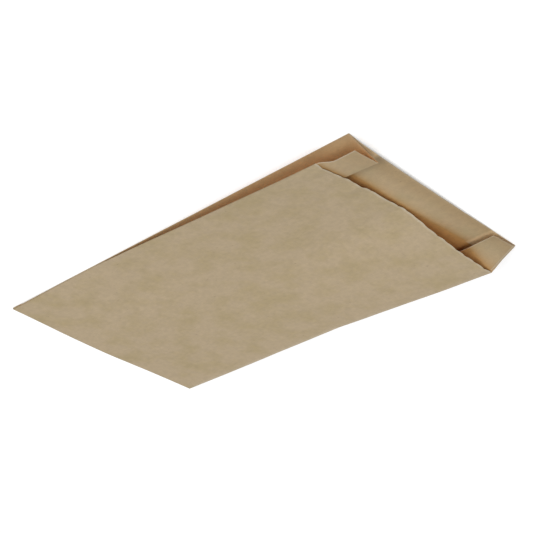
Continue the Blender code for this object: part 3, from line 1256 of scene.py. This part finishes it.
    def mesh(self) -> bpy.types.Mesh:
        """The sheet as one closed mesh, with the values that its finish reads.

        Returns:
            The mesh: two skins, joined along every free edge.
        """
        stations = self.stations()
        count = len(self.crease)
        grid = np.stack([station.points for station in stations])
        grid = self.relief.applied(grid, self.front.cut)
        grid[..., 2] -= grid[..., 2].min()

        used: dict[tuple[int, int], int] = {}

        def corner(station: int, column: int) -> int:
            """The number of a place on the sheet, given out at its first use."""
            return used.setdefault((station, column % count), len(used))

        cells, rims = [], {}
        for index, (here, there) in enumerate(zip(stations, stations[1:])):
            for column in self.shared_columns(here, there, count):
                ring = [corner(index, column), corner(index, column + 1)]
                ring += [corner(index + 1, column + 1), corner(index + 1, column)]
                cells.append(ring)
                for start, end in zip(ring, ring[1:] + ring[:1]):
                    if (end, start) in rims:
                        del rims[(end, start)]
                    else:
                        rims[(start, end)] = True
        faces = [[2 * c for c in ring] for ring in cells]
        faces += [[2 * c + 1 for c in reversed(ring)] for ring in cells]
        faces += [[2 * end, 2 * start, 2 * start + 1, 2 * end + 1] for start, end in rims]
        where = tuple(np.array(list(used)).T)

        data = bpy.data.meshes.new(self.node)
        data.from_pydata(grid[where].reshape(-1, 3).tolist(), [], faces)
        worn, frayed = [], []
        for station, column in used:
            x, y = grid[station, column, Skin.OUTER.value, :2]
            worn.append(self.wear_and_sheen(column, x))
            frayed.append(self.fraying(column, x, y, not stations[station].holds_front))
        self.store(data, "crease", np.repeat(worn, len(Skin)))
        self.store(data, "torn", np.repeat(frayed, len(Skin)))
        self.store(data, "inside", np.tile([0.0, 1.0], len(used)))
        for name, skins in self.tones(grid[:, :, Skin.INNER.value]).items():
            self.store(data, name, np.stack([values[where] for values in skins], axis=-1).ravel())
        return self.outward(data)

    def tones(self, inner: np.ndarray) -> dict[str, tuple]:
        """How the painted light and shade, and the darker tone toward the mouth, change over the two skins.

        A value called tucked is 1 where a skin lies hidden in the bag and takes its painted bounce light and
        shade, mouth_darkening grows toward the mouth, painted_glow stands in for light through a thin flap,
        and painted_shade is painted where a flap, the recess and its heel or the near front fold keeps light
        away.

        Args:
            inner: the inner skin's points by station and column.

        Returns:
            For each name, the outer and the inner skin's values from 0 to 1.
        """
        shade = self.shading
        x = inner[..., 0]
        past = inner[..., 1] - self.front.cut.base(x)
        to_mouth = (inner[..., 1] - HALF_LENGTH) / shade.recess_run
        columns = np.arange(len(self.crease))
        gusset = self.tucked > 0
        none = np.zeros_like(x)

        def by_side(name: str) -> np.ndarray:
            """A value of the near gusset's tone or of the far one's."""
            return np.where(x < 0, getattr(self.near.tone, name), getattr(self.far.tone, name))

        # Inside the bag the inner skin gets painted bounce light and shade, which eases to painted shade at
        # the cut and fades out over the lip and the flaps.
        fade_run = np.where(gusset, by_side("fade_run"), shade.lip_tone_run)
        outside = shade.edge_painted_shade * np.exp(-np.maximum(past, 0.0) / fade_run)
        within = mix(1.0, shade.edge_painted_shade, np.exp(np.minimum(past, 0.0) / shade.inner_tone_run))
        # The lip and the flaps' inner skins get darker toward the mouth, each flap by its gusset's own share.
        held = np.where(gusset, by_side("mouth_darkening"), 1.0)

        # What lies below the flaps goes from the near gusset's crease over the back panel to the far one's.
        tips = np.flatnonzero((self.crease == 1) & gusset)
        below = (columns >= tips[self.fineness.fold]) & (columns <= tips[-1 - self.fineness.fold])
        # A painted glow stands in for light through the far flap on the back panel below it, and painted
        # shade lies beside the near flap.
        under_flap = below * (past > 0) * smoothstep((np.abs(x) - shade.flap_from) / shade.lip_tone_run)
        beside_flap = below * smoothstep((-x - shade.beside_from) / shade.beside_run) * (1 - under_flap)
        # Painted shade over the far flap, and a painted shadow of the front panel's cut on each flap.
        to_cut = np.maximum(past, 0.0) / by_side("cut_dimmed_run")
        flap = gusset * (by_side("painted_shade") + by_side("cut_dimmed") * np.exp(-to_cut ** 2))
        # Painted shade in the recess, deeper toward the mouth and at the near heel, and along the near front
        # fold.
        heel = shade.heel_dimmed * np.exp(-(x + HALF_WIDTH) / shade.heel_run)
        recess = gusset * (shade.recess_dimmed * smoothstep(to_mouth + 1) + heel)
        fold = (self.crease == 1) & (self.tucked == 0) & (columns >= self.lasting)
        return {
            "tucked": (none + self.tucked, np.where(past > 0, outside, within)),
            "mouth_darkening": (none, held * smoothstep((past - shade.mouth_darkening_from) / shade.mouth_darkening_run)),
            "painted_glow": (none, under_flap),
            "painted_shade": (recess + fold * by_side("fold_dimmed"), shade.beside_dimmed * beside_flap + flap),
        }

    def wear_and_sheen(self, column: int, x: float) -> float:
        """How pale the sheet is on a fold, or on the front panel close to one: worn, and with a painted
        sheen.

        Args:
            column: the point's column.
            x: its place across the bag.

        Returns:
            1 on a fold that is fully pale, falling to 0 away from it.
        """
        side = self.near if x < 0 else self.far
        if self.crease[column] == 1:
            return side.tone.fold_wear_and_sheen
        from_fold = max(HALF_WIDTH - abs(x), 0.0) if column >= self.lasting else HALF_WIDTH
        return side.tone.fold_wear_and_sheen * math.exp(-from_fold / self.shading.fold_wear_and_sheen_run)

    def fraying(self, column: int, x: float, y: float, flap: bool) -> float:
        """How pale the sheet is at a point because a cut edge or a flap's old fold is close.

        Args:
            column: the point's column.
            x: its place across the bag.
            y: its place along the bag.
            flap: True past the front panel's cut.

        Returns:
            1 at the edge, falling to 0 at the fraying's width from it.
        """
        shade, lasting = self.shading, column < self.lasting
        gap = (HALF_LENGTH if lasting else self.front.cut.base(x)) - y
        most = shade.mouth_fray if lasting else 1.0
        frayed = most * float(np.clip(1 - gap / shade.fray_width, 0.0, 1.0))
        if flap and column in (0, 1, self.lasting - 2, self.lasting - 1):
            frayed = max(frayed, 1 - self.fineness.support / shade.fray_width)
        old_fold = self.crease[column] if flap and self.crease[column] < 1 else 0.0
        return max(old_fold, frayed)

    def shared_columns(self, here: Station, there: Station, count: int) -> range:
        """Which columns have a cell between two neighbouring stations.

        Args:
            here: one station.
            there: the next one toward the mouth.
            count: how many columns a whole section has.

        Returns:
            The columns that start a cell.
        """
        if not here.holds_lasting or not there.holds_lasting:
            return range(self.lasting + self.fineness.fold - 1, count - self.fineness.fold)
        if not here.holds_front or not there.holds_front:
            return range(self.lasting - 1)
        return range(count)

    @staticmethod
    def store(data: bpy.types.Mesh, name: str, values: np.ndarray) -> None:
        """Keep one value for each point of the mesh."""
        attribute = data.attributes.new(name, "FLOAT", "POINT")
        attribute.data.foreach_set("value", values.astype(np.float32))

    def outward(self, data: bpy.types.Mesh) -> bpy.types.Mesh:
        """Turn the mesh's faces outward, and smooth them apart from its cut edges.

        Args:
            data: the mesh.

        Returns:
            The same mesh.
        """
        mesh = bmesh.new()
        mesh.from_mesh(data)
        bmesh.ops.recalc_face_normals(mesh, faces=mesh.faces)
        mesh.to_mesh(data)
        mesh.free()
        data.shade_smooth()
        data.set_sharp_from_angle(angle=self.sharp_angle)
        return data

    def build(self) -> bpy.types.Object:
        """Make the bag and let it ride on its body in place of the plain solid.

        Returns:
            The dressed bag.
        """
        bag = bpy.data.objects.new("folded_kraft_sheet", self.mesh())
        bpy.context.scene.collection.objects.link(bag)
        bag.data.materials.append(self.finish.material())
        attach(bag, self.body)
        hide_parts(self.node)
        log.info("%s: %d points on body %s", bag.name, len(bag.data.vertices), self.body)
        return bag


@dataclass(frozen=True)
class Lamp:
    """One broad, distant lamp. The azimuth is that of the way toward the lamp, from +X toward +Y."""

    name: str
    strength: float
    azimuth: float
    elevation: float
    softness: float = math.radians(30)

    def build(self) -> bpy.types.Object:
        """Make the lamp and turn it toward the bag.

        Returns:
            The lamp.
        """
        data = bpy.data.lights.new(self.name, "SUN")
        data.energy = self.strength
        data.angle = self.softness
        lamp = bpy.data.objects.new(self.name, data)
        flat, up = math.cos(self.elevation), math.sin(self.elevation)
        way = Vector((flat * math.cos(self.azimuth), flat * math.sin(self.azimuth), up))
        lamp.rotation_euler = way.to_track_quat("Z", "Y").to_euler()
        bpy.context.scene.collection.objects.link(lamp)
        log.info("%s: strength %.2f", self.name, self.strength)
        return lamp


@dataclass(frozen=True)
class Studio:
    """A white table and a soft white surrounding, with broad lamps on the camera's side."""

    table_size: float = 8.0
    table_drop: float = 0.05 * MM
    table_tone: float = 0.80
    table_shade: float = 0.90
    table_roughness: float = 0.9
    sky: float = 0.48
    lamps: tuple[Lamp, ...] = (
        Lamp("side_lamp", 1.15, math.radians(180), math.radians(25)),
        Lamp("mouth_lamp", 0.60, math.radians(115), math.radians(48)),
        Lamp("top_lamp", 0.80, math.radians(180), math.radians(90), math.radians(60)),
    )

    def table(self) -> bpy.types.Object:
        """Make the table, which looks white to the camera and keeps the bag's shadow.

        Returns:
            The table.
        """
        half = self.table_size / 2
        data = bpy.data.meshes.new("table")
        corners = [(x * half, y * half, -self.table_drop) for x, y in ((-1, -1), (1, -1), (1, 1), (-1, 1))]
        data.from_pydata(corners, [], [(0, 1, 2, 3)])
        data.materials.append(self.table_white())
        table = bpy.data.objects.new("table", data)
        bpy.context.scene.collection.objects.link(table)
        log.info("table: %.1f m square", self.table_size)
        return table

    def table_white(self) -> bpy.types.Material:
        """The table's material: matt, with a glow that only the camera sees.

        Returns:
            The material.
        """
        material = bpy.data.materials.new("table_white")
        material.use_nodes = True
        nodes = NodeBench(material.node_tree)
        nodes.link((self.table_tone,) * 3, nodes.shader.inputs["Base Color"])
        nodes.shader.inputs["Roughness"].default_value = self.table_roughness
        matt = nodes.shader.outputs[0]
        glow = nodes.add("ShaderNodeEmission")
        glow.inputs["Strength"].default_value = 1.0 - self.table_tone * self.table_shade
        glowing = nodes.add("ShaderNodeAddShader", matt, glow.outputs[0]).outputs[0]
        chosen = nodes.add("ShaderNodeMixShader", self.seen(nodes), matt, glowing).outputs[0]
        nodes.link(chosen, material.node_tree.nodes["Material Output"].inputs["Surface"])
        return material

    @staticmethod
    def seen(nodes: NodeBench) -> bpy.types.NodeSocket:
        """What the camera sees, straight or in a gloss.

        Args:
            nodes: the material's bench.

        Returns:
            1 for such a ray, and 0 for any other.
        """
        path = nodes.add("ShaderNodeLightPath").outputs
        total = path["Is Camera Ray"]
        for name in ("Is Glossy Ray", "Is Transmission Ray"):
            total = nodes.add("ShaderNodeMath", total, path[name], operation="MAXIMUM").outputs[0]
        return total

    def surroundings(self) -> None:
        """The white sky, at its own strength as light and at full white to the camera."""
        world = bpy.data.worlds.new("surroundings")
        bpy.context.scene.world = world
        world.use_nodes = True
        tree = world.node_tree
        background = tree.nodes["Background"]
        background.inputs["Color"].default_value = (1.0, 1.0, 1.0, 1.0)
        path = tree.nodes.new("ShaderNodeLightPath")
        strength = tree.nodes.new("ShaderNodeMapRange")
        strength.inputs["To Min"].default_value = self.sky
        tree.links.new(path.outputs["Is Camera Ray"], strength.inputs["Value"])
        tree.links.new(strength.outputs[0], background.inputs["Strength"])
        log.info("surroundings: strength %.2f", self.sky)

    def build(self) -> None:
        """Everything round the bag."""
        self.table()
        self.surroundings()
        for lamp in self.lamps:
            lamp.build()


@dataclass(frozen=True)
class PhotoCamera:
    """The camera of the photograph: it looks down past the near mouth corner, turned half over.

    The bag's middle lies at an offset from the camera, along the photograph's own right, its own down and
    the way forward. The sight goes from the nearest to the farthest distance that is drawn.
    """

    picture: int = 533
    focal_pixels: float = 1517.26
    sensor: float = 36.0
    right: tuple[float, float, float] = (0.6600440, 0.7504916, 0.0332306)
    forward: tuple[float, float, float] = (0.6577955, -0.5560225, -0.5080789)
    offset: tuple[float, float, float] = (-5.12473 * MM, 6.34391 * MM, 874.22948 * MM)
    sight: tuple[float, float] = (0.01, 20.0)

    def build(self) -> bpy.types.Object:
        """Make the camera and set it as the scene's own.

        Returns:
            The camera.
        """
        data = bpy.data.cameras.new("photo_camera")
        data.sensor_width = self.sensor
        data.lens = self.focal_pixels * self.sensor / self.picture
        data.clip_start, data.clip_end = self.sight
        forward = Vector(self.forward).normalized()
        right = Vector(self.right)
        right = (right - right.dot(forward) * forward).normalized()
        down = forward.cross(right)
        shift = self.offset[0] * right + self.offset[1] * down + self.offset[2] * forward
        camera = bpy.data.objects.new("photo_camera", data)
        turn = Matrix((right, -down, -forward)).transposed()
        camera.matrix_world = Matrix.Translation(-shift) @ turn.to_4x4()
        bpy.context.scene.collection.objects.link(camera)
        bpy.context.scene.camera = camera
        log.info("photo_camera: %.1f mm lens", data.lens)
        return camera


def main() -> None:
    """Build the camera, the studio and the bag, in that order."""
    logging.basicConfig(level=logging.INFO, format="%(name)s %(message)s")
    bpy.context.scene.view_settings.view_transform = "Standard"
    PhotoCamera().build()
    Studio().build()
    PaperBag().build()
    bpy.context.view_layer.update()


if __name__ == "__main__":
    main()
